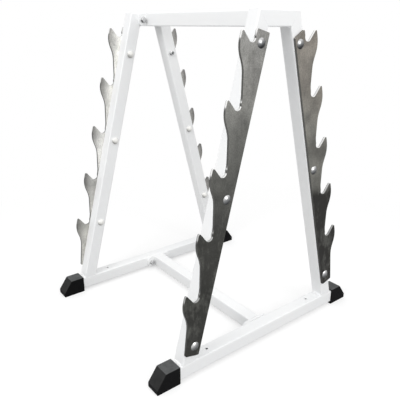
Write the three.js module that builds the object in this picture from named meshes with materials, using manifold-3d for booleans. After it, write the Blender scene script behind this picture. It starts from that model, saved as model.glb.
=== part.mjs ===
// Barbell storage rack: two A-shaped end frames of square tube, joined by two crossbars,
// with a hooked steel plate bolted to the outer face of each leg.
// Millimetres. X runs along the bars, Y from front (-) to back (+), Z up from the floor.
// The origin is on the floor, at the middle of the rack.
import * as THREE from 'three';
import { mergeVertices } from 'three/addons/utils/BufferGeometryUtils.js';
import Module from 'manifold-3d';

const wasm = await Module();
wasm.setup();

// Driving dimensions of the frame
const rackLength = 775; // over the outer faces of the two end frames
const frameHeight = 1140; // underside of the base tube to the top of the header
const baseSpread = 750; // over the outer faces of the legs, where they meet the base tube
const topSpread = 174; // over the outer corners of the mitres at the top
const baseOverhang = 60; // base tube beyond the legs' outer faces, at each end
const tubeSide = 50; // square tube, outer side
const tubeWall = 3;
const tubeRound = 5; // outer corner radius of the square tube
const weldGap = 0.3; // root gap left at each slanted or seated tube end
const weldLeg = 5; // fillet weld at a leg's foot, along the base tube and up the leg
const weldSink = 0.5; // how far a weld runs into the metal under it
const overrun = 10; // how far a cutter runs past what it cuts

// Feet: moulded boots on the ends of the base tubes
const footSole = 11; // thickness under the tube
const footSide = 3; // thickness beside the tube
const footRoof = 5; // thickness over the tube
const footClearance = 9; // from a leg's outer face to the boot's mouth
const footToe = 39; // from the tube's end to the toe of the boot
const footToeLift = 7; // height of the toe's upright face above the tube's underside
const footBrow = 4; // from the tube's end to the top of the sloping nose
const footRound = 3;
const footFit = 0.3; // clearance of the tube in the boot

// Hooked plates
const plateThickness = 8;
const plateCorner = 3; // radius of the plate's upper corners
const plateFootCorner = 6; // radius of its lower corners
const hookCount = 5;
const hookReach = 55; // outermost face of a hook, out from the leg's outer face
const seatRadius = 14.5; // round seat for a bar
const topSeatDip = 4; // how much lower the top seat is than an even spacing would put it
const seatUndercut = 1.8; // how far the round seat cuts in past the wall above it
const wallInset = 1; // wall above each seat, inside the line of the leg's outer face
const hookRampShare = 0.41; // slope of the hook's inner ramp, as a share of a right angle
const tipRound = 4.6;
const noseDrop = 38; // from a seat's centre down to where the hook starts to narrow
const noseRound = 90;
const waistDrop = 88; // from a seat's centre down to the waist below the hook
const waistReach = 20.6; // waist, out from the leg's outer face
const waistRound = 100;
const throatRise = 24; // start of the straight wall above a seat's centre
const throatRound = 90;
const tailReach = 3; // lower end of the plate, out from the leg's outer face

// Where a plate ends below the leg's top and above its foot, how much its top falls towards the
// straight edge, where its seats' even spacing starts below its top and ends above its own foot,
// and how far its straight edge stands past the leg's inner face or short of it
const frontPlate = {
  topDrop: 54.4,
  topFall: 0,
  foot: 39,
  seatDrop: 24,
  lowSeatRise: 203.6,
  laps: { right: 2, left: 2 },
};
const backPlate = {
  topDrop: 59.8,
  topFall: 14,
  foot: 76,
  seatDrop: 21.5,
  lowSeatRise: 220.9,
  laps: { right: -3, left: -8 },
};

// Through bolts that hold the plates to the legs
const boltDiameter = 12;
const holeDiameter = 13;
const boltHeadDiameter = 31;
const boltHeadHeight = 6.5;
const boltHeadRim = 0.8; // straight edge under the dome
const boltNeckDepth = 6.5; // square neck in the plate's square hole
const boltStandout = 1; // thread past the nut
const boltTip = 1; // chamfer at the end of the thread
const nutAcross = 18; // across the flats
const nutHeight = 10;
const threadFit = 0.3; // radial clearance of a nut or cap on its bolt
const capDiameter = 28;
const capHeight = 13;
const capRim = 4; // straight side of the cap below its dome
const boltLineShare = 0.54; // bolt line behind the leg's outer face, as a share of the tube
const boltHeightShares = {
  right: { front: [0.92, 0.501, 0.065], back: [0.914, 0.519, 0.103] },
  left: { front: [0.8604, 0.5437, 0.2262], back: [0.8604, 0.5437, 0.2262] },
};

// Crossbars with bolted end flanges
const flangeThickness = 10;
const flangeRound = 20;
const flangeBoltClearance = 3; // from the crossbar's side to a washer's edge
const flangeBoltInset = 20; // from the flange's end to the bolt
const flangeBoltRise = 24; // bolt line above the lower edge of the flange
const hexHeadHeight = 7.5;
const washerDiameter = 24;
const washerThickness = 2.5;
const hexStandout = 2;

// Anchor holes in the base tubes
const anchorSpacing = 510;
const anchorDiameter = 10;

// Fineness of round forms
const roundSides = 18;
const holeSides = 12;
const arcSag = 0.2; // most that an arc's facets may cut inside it

const hexSides = 6;
const rightAngle = Math.PI / 2;
const up = new THREE.Vector3(0, 0, 1);

// Places worked out from the driving dimensions
const frameX = (rackLength - tubeSide) / 2;
const innerFaceX = frameX - tubeSide / 2;
const baseCentre = footSole + tubeSide / 2;
const baseTop = footSole + tubeSide;
const headerCentre = footSole + frameHeight - tubeSide / 2;
const baseLength = baseSpread + 2 * baseOverhang;
const footReach = baseOverhang - footClearance;
const legRise = frameHeight - tubeSide;
const legRun = (baseSpread - topSpread) / 2;
const lean = Math.atan2(legRun, legRise);
const legLength = Math.hypot(legRun, legRise);
const mitre = (rightAngle + lean) / 2;
const boltLine = -boltLineShare * tubeSide;
const flangeBoltSpacing = tubeSide + washerDiameter + 2 * flangeBoltClearance;
const flangeWidth = flangeBoltSpacing + 2 * flangeBoltInset;

const paint = new THREE.MeshStandardMaterial({ color: 0xf3f3f1, roughness: 0.42, metalness: 0.05 });
const millSteel = new THREE.MeshStandardMaterial({ color: 0x77756f, roughness: 0.55, metalness: 0.8 });
const chrome = new THREE.MeshStandardMaterial({ color: 0xd9dbdc, roughness: 0.15, metalness: 1 });
const zinc = new THREE.MeshStandardMaterial({ color: 0xb9bcbd, roughness: 0.32, metalness: 1 });
const rubber = new THREE.MeshStandardMaterial({ color: 0x1d1d1f, roughness: 0.75, metalness: 0 });
const capPlastic = new THREE.MeshStandardMaterial({ color: 0xe8e4d8, roughness: 0.4, metalness: 0 });

// Closed geometry to solid and back
function solidOf(geometry) {
  const bare = geometry.clone();
  bare.deleteAttribute('normal');
  bare.deleteAttribute('uv');
  const merged = mergeVertices(bare);
  const mesh = new wasm.Mesh({
    numProp: 3,
    vertProperties: new Float32Array(merged.attributes.position.array),
    triVerts: new Uint32Array(merged.index.array),
  });
  return new wasm.Manifold(mesh);
}

function geometryOf(solid) {
  const mesh = solid.getMesh();
  const geometry = new THREE.BufferGeometry();
  geometry.setAttribute('position', new THREE.BufferAttribute(mesh.vertProperties, mesh.numProp));
  geometry.setIndex(new THREE.BufferAttribute(mesh.triVerts, 1));
  geometry.computeVertexNormals();
  return geometry;
}

function cut(geometry, cutters) {
  let solid = solidOf(geometry);
  for (const cutter of cutters) {
    solid = solid.subtract(solidOf(cutter));
  }
  return geometryOf(solid);
}

function join(geometry, others) {
  let solid = solidOf(geometry);
  for (const other of others) {
    solid = solid.add(solidOf(other));
  }
  return geometryOf(solid);
}

// A block that starts on the plane through a point and fills the side its normal points to
function blockBeyond(point, normal, size) {
  const block = new THREE.BoxGeometry(size, size, size);
  block.translate(0, 0, size / 2);
  block.applyQuaternion(new THREE.Quaternion().setFromUnitVectors(up, normal));
  block.translate(point.x, point.y, point.z);
  return block;
}

// Cylinder along X from x = start to x = end, at a place in Y and Z
function rodAlongX(diameter, start, end, y, z, sides) {
  const rod = new THREE.CylinderGeometry(diameter / 2, diameter / 2, end - start, sides);
  rod.rotateZ(rightAngle);
  rod.translate((start + end) / 2, y, z);
  return rod;
}

function rodAlongZ(diameter, start, end, x, y, sides) {
  const rod = new THREE.CylinderGeometry(diameter / 2, diameter / 2, end - start, sides);
  rod.rotateX(rightAngle);
  rod.translate(x, y, (start + end) / 2);
  return rod;
}

// Hexagonal prism along X with a point at the top
function hexAlongX(across, start, end, y, z) {
  return rodAlongX(across / Math.cos(Math.PI / hexSides), start, end, y, z, hexSides);
}

// Solid turned about the X axis from a profile of [radius, x] points
function turnedAboutX(profile, sides) {
  const points = profile.map(([radius, x]) => new THREE.Vector2(radius, x));
  const turned = new THREE.LatheGeometry(points, sides);
  turned.rotateZ(-rightAngle);
  return turned;
}

function arcPoints(centre, radius, from, to) {
  const stepTurn = 2 * Math.acos(1 - arcSag / radius);
  const steps = Math.max(2, Math.ceil(Math.abs(to - from) / stepTurn));
  const points = [];
  for (let i = 0; i <= steps; i += 1) {
    const angle = from + ((to - from) * i) / steps;
    points.push([centre[0] + radius * Math.cos(angle), centre[1] + radius * Math.sin(angle)]);
  }
  return points;
}

// Replaces the corner of two straight runs by an arc that touches both
function roundedCorner(before, corner, after, radius) {
  const a = new THREE.Vector2(before[0] - corner[0], before[1] - corner[1]).normalize();
  const b = new THREE.Vector2(after[0] - corner[0], after[1] - corner[1]).normalize();
  const half = Math.acos(THREE.MathUtils.clamp(a.dot(b), -1, 1)) / 2;
  const middle = a.clone().add(b).normalize();
  const reach = radius / Math.sin(half);
  const centre = [corner[0] + middle.x * reach, corner[1] + middle.y * reach];
  const tangent = radius / Math.tan(half);
  const start = [corner[0] + a.x * tangent - centre[0], corner[1] + a.y * tangent - centre[1]];
  const turn = Math.PI - 2 * half;
  const sign = Math.sign(b.x * a.y - b.y * a.x);
  const from = Math.atan2(start[1], start[0]);
  return arcPoints(centre, radius, from, from + sign * turn);
}

function shapeFrom(points) {
  return new THREE.Shape(points.map(([x, y]) => new THREE.Vector2(x, y)));
}

// Outline whose corners are [x, y, radius]; a corner without a radius stays sharp
function roundedShape(corners) {
  const points = [];
  corners.forEach((corner, i) => {
    const before = corners[(i + corners.length - 1) % corners.length];
    const after = corners[(i + 1) % corners.length];
    if (corner.length > 2) {
      points.push(...roundedCorner(before, corner, after, corner[2]));
    } else {
      points.push(corner);
    }
  });
  return shapeFrom(points);
}

function roundedRectangle(width, height, radius) {
  const x = width / 2;
  const y = height / 2;
  return roundedShape([
    [x, -y, radius],
    [x, y, radius],
    [-x, y, radius],
    [-x, -y, radius],
  ]);
}

// Prism along Z, centred on the origin
function prism(shape, length) {
  const solid = new THREE.ExtrudeGeometry(shape, { depth: length, bevelEnabled: false });
  solid.translate(0, 0, -length / 2);
  return solid;
}

// Prism along X, centred on X = 0. The outline's x runs outward, along -Y, and its y up
function prismAcross(shape, width) {
  const solid = prism(shape, width);
  const outward = new THREE.Vector3(0, -1, 0);
  const across = new THREE.Vector3(-1, 0, 0);
  solid.applyMatrix4(new THREE.Matrix4().makeBasis(outward, up, across));
  return solid;
}

// Square tube along Z, centred on the origin
function squareTube(length) {
  const bore = tubeSide - 2 * tubeWall;
  const boreRound = Math.max(tubeRound - tubeWall, tubeWall / 2);
  const section = roundedRectangle(tubeSide, tubeSide, tubeRound);
  section.holes.push(roundedRectangle(bore, bore, boreRound));
  return prism(section, length);
}

// Hole for a flange bolt through the tube's inner wall, and the weld nut behind it.
// The tube's axis is along Y and its inner face looks to -X
function withFlangeSockets(tube, centreZ, boltZ) {
  const face = -tubeSide / 2;
  const nutStart = face + tubeWall - weldSink;
  const nutEnd = face + tubeWall + nutHeight;
  const places = [-flangeBoltSpacing / 2, flangeBoltSpacing / 2];
  const z = boltZ - centreZ;
  const nuts = places.map((y) => hexAlongX(nutAcross, nutStart, nutEnd, y, z));
  const bore = boltDiameter + 2 * threadFit;
  const holes = places.map((y) => rodAlongX(bore, face - overrun, nutEnd + overrun, y, z, holeSides));
  return cut(join(tube, nuts), holes);
}

// Fillet weld across the base tube's flat top, along one face of a leg's foot at the front.
// The face crosses the tube's top at the given place; the weld lies on the given side of it
function footWeldGeometry(place, side) {
  const root = place + (side * weldGap) / Math.cos(lean);
  const fillet = shapeFrom([
    [root, -weldSink],
    [root + side * weldLeg, -weldSink],
    [root + side * weldLeg, 0],
    [root - weldLeg * Math.sin(lean), weldLeg * Math.cos(lean)],
    [root, 0],
  ]);
  const weld = prismAcross(fillet, tubeSide - 2 * tubeRound);
  weld.translate(0, 0, tubeSide / 2);
  return weld;
}

function footWeldGeometries() {
  const outerFace = baseSpread / 2;
  const innerFace = outerFace - tubeSide / Math.cos(lean);
  const front = [footWeldGeometry(outerFace, 1), footWeldGeometry(innerFace, -1)];
  const back = front.map((weld) => weld.clone().rotateZ(2 * rightAngle));
  return [...front, ...back];
}

function baseTubeGeometry() {
  const tube = squareTube(baseLength);
  tube.rotateX(rightAngle);
  const anchors = [-anchorSpacing / 2, anchorSpacing / 2].map((y) =>
    rodAlongZ(anchorDiameter, -tubeSide / 2 - overrun, tubeSide / 2 + overrun, 0, y, holeSides),
  );
  const boltZ = footSole + flangeBoltRise;
  return withFlangeSockets(join(cut(tube, anchors), footWeldGeometries()), baseCentre, boltZ);
}

function headerGeometry() {
  const tube = squareTube(topSpread + 2 * overrun);
  tube.rotateX(rightAngle);
  const cutterSize = 3 * tubeSide;
  const cutters = [-1, 1].map((side) => {
    const normal = new THREE.Vector3(0, side * Math.sin(mitre), -Math.cos(mitre)).normalize();
    const point = new THREE.Vector3(0, (side * topSpread) / 2, tubeSide / 2);
    point.addScaledVector(normal, -weldGap / 2);
    return blockBeyond(point, normal, cutterSize);
  });
  const boltZ = headerCentre - tubeSide / 2 + flangeBoltRise;
  return withFlangeSockets(cut(tube, cutters), headerCentre, boltZ);
}

// Leg along its own Z, with its outer face on y = 0 and its foot at z = 0.
// Its outward side looks to -Y before it is leaned
function legGeometry(boltHeights) {
  const tube = squareTube(legLength + 2 * tubeSide);
  tube.translate(0, tubeSide / 2, legLength / 2);
  const cutterSize = 3 * tubeSide;
  const topNormal = new THREE.Vector3(0, Math.cos(mitre), Math.sin(mitre));
  const topPoint = new THREE.Vector3(0, 0, legLength).addScaledVector(topNormal, -weldGap / 2);
  const footNormal = new THREE.Vector3(0, Math.sin(lean), -Math.cos(lean));
  const footPoint = new THREE.Vector3(0, 0, 0).addScaledVector(footNormal, -weldGap);
  const cutters = [
    blockBeyond(topPoint, topNormal, cutterSize),
    blockBeyond(footPoint, footNormal, cutterSize),
  ];
  for (const height of boltHeights) {
    const reach = tubeSide / 2 + overrun;
    cutters.push(rodAlongX(holeDiameter, -reach, reach, -boltLine, height, holeSides));
  }
  return cut(tube, cutters);
}

// Outline of one hook, from the top of its seat's wall to the waist below the hook.
// x runs out from the leg's outer face and y up along the leg
function hookOutline(seat, nextSeat) {
  const ramp = hookRampShare * rightAngle;
  const centre = [-wallInset - seatUndercut + seatRadius, seat];
  const wallAngle = Math.acos((-wallInset - centre[0]) / seatRadius);
  const rampAngle = 2 * Math.PI + ramp - rightAngle;
  const bowl = arcPoints(centre, seatRadius, wallAngle, rampAngle);
  const rampStart = bowl[bowl.length - 1];
  const tip = [hookReach, rampStart[1] + (hookReach - rampStart[0]) * Math.tan(ramp)];
  const nose = [hookReach, seat - noseDrop];
  const waist = [waistReach, seat - waistDrop];
  return [
    ...bowl,
    ...roundedCorner(rampStart, tip, nose, tipRound),
    ...roundedCorner(tip, nose, waist, noseRound),
    ...roundedCorner(nose, waist, nextSeat, waistRound),
  ];
}

function hookPlateGeometry(plate, lap, boltHeights) {
  const top = legLength - plate.topDrop;
  const highSeat = top - plate.seatDrop;
  const lowSeat = plate.foot + plate.lowSeatRise;
  const pitch = (highSeat - lowSeat) / (hookCount - 1);
  const back = -tubeSide - lap;
  const topCorner = [-wallInset, top];
  const backCorner = [back, top - plate.topFall];
  const tail = [tailReach, plate.foot];
  const points = [
    ...roundedCorner(tail, [back, plate.foot], backCorner, plateFootCorner),
    ...roundedCorner([back, plate.foot], backCorner, topCorner, plateCorner),
    ...roundedCorner(backCorner, topCorner, [-wallInset, highSeat], plateCorner),
  ];
  let waist = topCorner;
  for (let i = 0; i < hookCount; i += 1) {
    const seat = highSeat - i * pitch - (i === 0 ? topSeatDip : 0);
    const throat = [-wallInset, seat + throatRise];
    if (i > 0) {
      points.push(...roundedCorner(waist, throat, [-wallInset, seat], throatRound));
    }
    const nextThroat = [-wallInset, highSeat - (i + 1) * pitch + throatRise];
    const nextSeat = i < hookCount - 1 ? nextThroat : tail;
    points.push(...hookOutline(seat, nextSeat));
    waist = [waistReach, seat - waistDrop];
  }
  points.push(...roundedCorner(waist, tail, [back, plate.foot], plateFootCorner));
  const solid = prismAcross(shapeFrom(points), plateThickness);
  const neckHole = boltDiameter + 2 * threadFit;
  const cutters = boltHeights.map((height) => {
    const hole = new THREE.BoxGeometry(plateThickness + 2 * overrun, neckHole, neckHole);
    hole.translate(0, -boltLine, height);
    return hole;
  });
  return cut(solid, cutters);
}

// Dome-headed bolt with a square neck. The underside of its head is on x = 0, its head to +X
function plateBoltGeometry() {
  const length = plateThickness + tubeSide + nutHeight + boltStandout;
  const radius = boltDiameter / 2;
  const headRadius = boltHeadDiameter / 2;
  const domeRise = boltHeadHeight - boltHeadRim;
  const domeRadius = (headRadius ** 2 + domeRise ** 2) / (2 * domeRise);
  const spread = Math.asin(headRadius / domeRadius);
  const dome = arcPoints([0, boltHeadHeight - domeRadius], domeRadius, rightAngle - spread, rightAngle);
  dome[dome.length - 1] = [0, boltHeadHeight];
  const profile = [
    [0, -length],
    [radius - boltTip, -length],
    [radius, boltTip - length],
    [radius, 0],
    [headRadius, 0],
    ...dome,
  ];
  const turned = turnedAboutX(profile, roundSides);
  const neck = new THREE.BoxGeometry(boltNeckDepth + boltHeadRim, boltDiameter, boltDiameter);
  neck.translate((boltHeadRim - boltNeckDepth) / 2, 0, 0);
  return join(turned, [neck]);
}

// Plastic dome with its nut inside, as one piece. Its flat mouth is on x = 0, its dome to -X
function capGeometry() {
  const bore = boltDiameter / 2 + threadFit;
  const boreDepth = nutHeight + boltStandout + threadFit;
  const radius = capDiameter / 2;
  const domeRise = capHeight - capRim;
  const domeRadius = (radius ** 2 + domeRise ** 2) / (2 * domeRise);
  const spread = Math.asin(Math.min(1, radius / domeRadius));
  const dome = arcPoints([0, capHeight - domeRadius], domeRadius, rightAngle - spread, rightAngle);
  dome[dome.length - 1] = [0, capHeight];
  const profile = [[0, boreDepth], [bore, boreDepth], [bore, 0], [radius, 0], ...dome];
  const cap = turnedAboutX(profile, roundSides);
  cap.rotateZ(2 * rightAngle);
  return cap;
}

// Plain hexagon nut. Its seat is on x = 0 and it stands to -X
function nutGeometry() {
  const nut = hexAlongX(nutAcross, -nutHeight, 0, 0, 0);
  const bore = boltDiameter + 2 * threadFit;
  return cut(nut, [rodAlongX(bore, -nutHeight - overrun, overrun, 0, 0, roundSides)]);
}

// Hexagon bolt with its washer. The washer's seat is on x = 0 and the head stands to -X
function flangeBoltGeometry() {
  const length = flangeThickness + tubeWall + nutHeight + hexStandout;
  const radius = boltDiameter / 2;
  const headEnd = washerThickness + hexHeadHeight;
  const profile = [
    [0, -washerThickness],
    [washerDiameter / 2, -washerThickness],
    [washerDiameter / 2, 0],
    [radius, 0],
    [radius, length - boltTip],
    [radius - boltTip, length],
    [0, length],
  ];
  const turned = turnedAboutX(profile, roundSides);
  const head = hexAlongX(nutAcross, -headEnd, -washerThickness / 2, 0, 0);
  return join(turned, [head]);
}

function flangeGeometry() {
  const shape = roundedRectangle(flangeWidth, tubeSide, flangeRound);
  const plate = prismAcross(shape, flangeThickness);
  const reach = flangeThickness / 2 + overrun;
  const z = flangeBoltRise - tubeSide / 2;
  const holes = [-flangeBoltSpacing / 2, flangeBoltSpacing / 2].map((y) =>
    rodAlongX(holeDiameter, -reach, reach, y, z, holeSides),
  );
  return cut(plate, holes);
}

function crossbarGeometry() {
  const tube = squareTube(2 * (innerFaceX - flangeThickness));
  tube.rotateY(rightAngle);
  return tube;
}

// Boot for the tube's end at the front. Outward is -Y
function footGeometry() {
  const tubeEnd = baseLength / 2;
  const mouth = tubeEnd - footReach;
  const toe = tubeEnd + footToe;
  const top = baseTop + footRoof;
  const shape = roundedShape([
    [mouth, 0, footRound],
    [toe, 0, footRound],
    [toe, footSole + footToeLift, footRound],
    [tubeEnd + footBrow, top, footRound],
    [mouth, top, footRound],
  ]);
  const boot = prismAcross(shape, tubeSide + 2 * footSide);
  const pocketHeight = tubeSide + footFit;
  const pocketDepth = footReach + footFit + overrun;
  const pocket = prism(roundedRectangle(tubeSide + 2 * footFit, pocketHeight, tubeRound), pocketDepth);
  pocket.rotateX(rightAngle);
  pocket.translate(0, pocketDepth / 2 - tubeEnd - footFit, footSole + pocketHeight / 2);
  return cut(boot, [pocket]);
}

const rack = new THREE.Group();

function add(parent, name, geometry, material) {
  const mesh = new THREE.Mesh(geometry, material);
  mesh.name = name;
  parent.add(mesh);
  return mesh;
}

const ends = [
  { name: 'right', sign: 1 },
  { name: 'left', sign: -1 },
];
const sides = [
  { name: 'front', sign: -1, plate: frontPlate },
  { name: 'back', sign: 1, plate: backPlate },
];
const levels = [
  { name: 'bottom', centre: baseCentre },
  { name: 'top', centre: headerCentre },
];

// Base tube and header of one end frame, with their inner faces to the middle of the rack
function addFrameTubes(end) {
  const base = add(rack, `base_tube_${end.name}`, baseTubeGeometry(), paint);
  base.position.set(end.sign * frameX, 0, baseCentre);
  base.rotation.z = end.sign > 0 ? 0 : Math.PI;
  const header = add(rack, `header_${end.name}`, headerGeometry(), paint);
  header.position.set(end.sign * frameX, 0, headerCentre);
  header.rotation.z = end.sign > 0 ? 0 : Math.PI;
}

// Leg, hooked plate, bolts and caps, in a group that leans with the leg
function addLeg(end, side) {
  const heights = boltHeightShares[end.name][side.name].map((share) => share * legLength);
  const foot = new THREE.Group();
  foot.position.set(end.sign * frameX, (side.sign * baseSpread) / 2, baseTop);
  foot.rotation.z = side.sign < 0 ? 0 : Math.PI;
  rack.add(foot);
  const leaned = new THREE.Group();
  leaned.rotation.x = -lean;
  foot.add(leaned);
  const outward = -end.sign * side.sign;
  const faceX = (outward * tubeSide) / 2;
  const tag = `${end.name}_${side.name}`;
  add(leaned, `leg_${tag}`, legGeometry(heights), paint);
  const steel = hookPlateGeometry(side.plate, side.plate.laps[end.name], heights);
  const plate = add(leaned, `hook_plate_${tag}`, steel, millSteel);
  plate.position.x = faceX + (outward * plateThickness) / 2;
  heights.forEach((height, i) => {
    const bolt = add(leaned, `plate_bolt_${tag}_${i + 1}`, plateBoltGeometry(), chrome);
    bolt.position.set(faceX + outward * plateThickness, -boltLine, height);
    bolt.rotation.z = outward > 0 ? 0 : Math.PI;
    const isBare = end.sign < 0 && side.sign > 0 && i === 0;
    const nutName = isBare ? `hex_nut_${tag}_${i + 1}` : `cap_nut_${tag}_${i + 1}`;
    const nut = add(leaned, nutName, isBare ? nutGeometry() : capGeometry(), isBare ? zinc : capPlastic);
    nut.position.set(-faceX, -boltLine, height);
    nut.rotation.z = outward > 0 ? 0 : Math.PI;
  });
}

function addFoot(end, side) {
  const foot = add(rack, `foot_${end.name}_${side.name}`, footGeometry(), rubber);
  foot.position.x = end.sign * frameX;
  foot.rotation.z = side.sign < 0 ? 0 : Math.PI;
}

// Crossbar with a flange and two bolts at each end
function addCrossbar(level) {
  const bar = add(rack, `crossbar_${level.name}`, crossbarGeometry(), paint);
  bar.position.z = level.centre;
  for (const end of ends) {
    const tag = `${level.name}_${end.name}`;
    const flange = add(rack, `flange_${tag}`, flangeGeometry(), paint);
    flange.position.set(end.sign * (innerFaceX - flangeThickness / 2), 0, level.centre);
    for (const side of sides) {
      const bolt = add(rack, `flange_bolt_${tag}_${side.name}`, flangeBoltGeometry(), zinc);
      const y = (side.sign * flangeBoltSpacing) / 2;
      const z = level.centre - tubeSide / 2 + flangeBoltRise;
      bolt.position.set(end.sign * (innerFaceX - flangeThickness), y, z);
      bolt.rotation.z = end.sign > 0 ? 0 : Math.PI;
    }
  }
}

for (const end of ends) {
  addFrameTubes(end);
  for (const side of sides) {
    addLeg(end, side);
    addFoot(end, side);
  }
}
for (const level of levels) {
  addCrossbar(level);
}

export default rack;
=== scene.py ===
import bmesh
import bpy
import math
from mathutils import Matrix, Vector


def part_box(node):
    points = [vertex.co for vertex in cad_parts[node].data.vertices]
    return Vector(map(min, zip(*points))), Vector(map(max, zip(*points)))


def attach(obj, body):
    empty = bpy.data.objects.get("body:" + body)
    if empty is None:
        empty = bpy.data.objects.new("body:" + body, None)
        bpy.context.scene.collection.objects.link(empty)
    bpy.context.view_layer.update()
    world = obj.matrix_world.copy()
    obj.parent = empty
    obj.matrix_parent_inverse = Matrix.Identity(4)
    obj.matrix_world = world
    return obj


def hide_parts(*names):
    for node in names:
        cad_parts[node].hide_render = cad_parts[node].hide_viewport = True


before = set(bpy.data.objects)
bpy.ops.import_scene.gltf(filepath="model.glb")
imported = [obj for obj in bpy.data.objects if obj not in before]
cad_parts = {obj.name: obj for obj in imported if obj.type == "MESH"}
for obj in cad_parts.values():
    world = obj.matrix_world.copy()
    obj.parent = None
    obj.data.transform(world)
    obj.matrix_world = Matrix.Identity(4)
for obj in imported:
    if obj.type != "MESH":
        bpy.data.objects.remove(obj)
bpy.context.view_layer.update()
print("frame loaded:", len(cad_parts), "nodes")

# Values that the pieces share, in metres unless a note says otherwise.
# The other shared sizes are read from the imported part's boxes
rack = {
    "baseSpread": 0.750,  # over the legs' outer faces, where they meet the base tubes
    "topSpread": 0.174,  # over the outer corners of the mitres
    "tubeWall": 0.003,
    "tubeRound": 0.005,
    "plateBolts": 3,  # to each hooked plate
    "boltDiameter": 0.012,
    "boltLineShare": 0.54,  # bolt line behind the leg's outer face, as a share of the tube
    "arcSag": 0.00004,  # how far an arc's facets may cut inside it
    "turnSteps": 48,  # steps in a full turn
    "rodSteps": 32,
    "holeSteps": 24,
    "sharpAngle": 50,  # degrees; a bevel takes the edges past it
    "smoothAngle": 34,  # degrees; edges past it stay crisp
    "mergeGap": 1e-6,
    "lastMergeGap": 1e-7,  # when a piece ends
}
ends = {"right": 1, "left": -1}
sides = {"front": -1, "back": 1}
levels = ("bottom", "top")

lowBar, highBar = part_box("crossbar_bottom"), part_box("crossbar_top")
tubeSide = (lowBar[1] - lowBar[0]).z
baseTop, headerTop = lowBar[1].z, highBar[1].z
frameX = sum(corner.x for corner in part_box("header_right")) / 2
innerFaceX = frameX - tubeSide / 2
legRise = headerTop - baseTop
legRun = (rack["baseSpread"] - rack["topSpread"]) / 2
lean = math.atan2(legRun, legRise)
legLength = math.hypot(legRun, legRise)
mitre = (math.pi / 2 + lean) / 2
boltLine = rack["boltLineShare"] * tubeSide
alongX = Vector((1, 0, 0))
upward = Vector((0, 0, 1))


# Hooked plate, drawn in the leg's frame: outward from the leg's outer face, and up along it
hook = {
    "count": 5,
    "corner": 0.003,
    "footCorner": 0.006,
    "reach": 0.055,
    "seatRadius": 0.0145,
    "topSeatDip": 0.004,  # how much lower the top seat is than an even spacing would put it
    "undercut": 0.0018,
    "wallInset": 0.001,
    "rampShare": 0.41,
    "tipRound": 0.0046,
    "noseDrop": 0.038,
    "noseRound": 0.090,
    "waistDrop": 0.088,
    "waistReach": 0.0206,
    "waistRound": 0.100,
    "throatRise": 0.024,
    "throatRound": 0.090,
    "tailReach": 0.003,
    "edge": 0.0006,
    "edgeSteps": 2,
    "neckHole": 0.0126,
    "faceTurn": 0.98,  # a face that looks along X at least this much is a side of the plate
    "topTurn": 0.7,  # and one that looks up at least this much is its top edge
    "scaledEdge": 0.004,  # the top edge keeps its scale from this far behind the leg's outer face
}
# Where a plate starts and ends along its leg. Its straight edge laps this far past the leg's inner edge
plateSpans = {
    "front": {
        "topDrop": 0.0544, "topFall": 0, "foot": 0.039, "seatDrop": 0.024, "lowSeatRise": 0.2036,
        "laps": {"right": 0.002, "left": 0.002}},
    "back": {
        "topDrop": 0.0598, "topFall": 0.014, "foot": 0.076, "seatDrop": 0.0215, "lowSeatRise": 0.2209,
        "laps": {"right": -0.003, "left": -0.008}},
}


# Paths are drawn in a plane, point by point and arc by arc
platePlane = (Vector((0, -1, 0)), upward)  # outward from the rack, and up
turnedPlane = (alongX, upward)  # along the axis, and out from it
floorPlane = (alongX, Vector((0, 1, 0)))  # across a tube that stands on its end
weldPlane = (Vector((0, 1, 0)), upward)  # along the first face, and out from it


def placed(plane, point):
    return plane[0] * point[0] + plane[1] * point[1]


def vertsOf(items):
    return [item for item in items if isinstance(item, bmesh.types.BMVert)]


def straightTo(bm, vert, plane, point):
    step = bmesh.ops.extrude_vert_indiv(bm, verts=[vert])["verts"][0]
    step.co = placed(plane, point)
    return step


def arcTo(bm, vert, plane, centre, turn):
    middle = placed(plane, centre)
    radius = (vert.co - middle).length
    stepTurn = 2 * math.acos(1 - rack["arcSag"] / radius)
    steps = max(2, math.ceil(abs(turn) / stepTurn))
    axis = plane[0].cross(plane[1])
    swept = bmesh.ops.spin(
        bm, geom=[vert], cent=middle, axis=axis, angle=turn, steps=steps, use_duplicate=False)
    return vertsOf(swept["geom_last"])[0]


# A corner of two straight runs becomes an arc that touches both
def roundedTo(bm, vert, plane, before, corner, after, radius):
    corner = Vector(corner)
    back = (Vector(before) - corner).normalized()
    on = (Vector(after) - corner).normalized()
    half = back.angle(on) / 2
    tangent = corner + back * (radius / math.tan(half))
    centre = corner + (back + on).normalized() * (radius / math.sin(half))
    turn = math.copysign(math.pi - 2 * half, on.x * back.y - on.y * back.x)
    vert = straightTo(bm, vert, plane, tangent) if vert else bm.verts.new(placed(plane, tangent))
    return arcTo(bm, vert, plane, centre, turn)


def closeOutline(bm):
    loose = [vert for vert in bm.verts if len(vert.link_edges) == 1]
    bmesh.ops.contextual_create(bm, geom=loose)
    bmesh.ops.remove_doubles(bm, verts=bm.verts, dist=rack["mergeGap"])


# Flat face whose corners are (x, y, radius)
def roundedFace(plane, corners):
    bm = bmesh.new()
    vert = None
    for i, corner in enumerate(corners):
        before, after = corners[i - 1][:2], corners[(i + 1) % len(corners)][:2]
        vert = roundedTo(bm, vert, plane, before, corner[:2], after, corner[2])
    closeOutline(bm)
    bmesh.ops.contextual_create(bm, geom=bm.edges[:])
    return bm


# Corners of a rectangle, from half its width and half its height
def rectangle(x, y, radius):
    return [(x, -y, radius), (x, y, radius), (-x, y, radius), (-x, -y, radius)]


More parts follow.
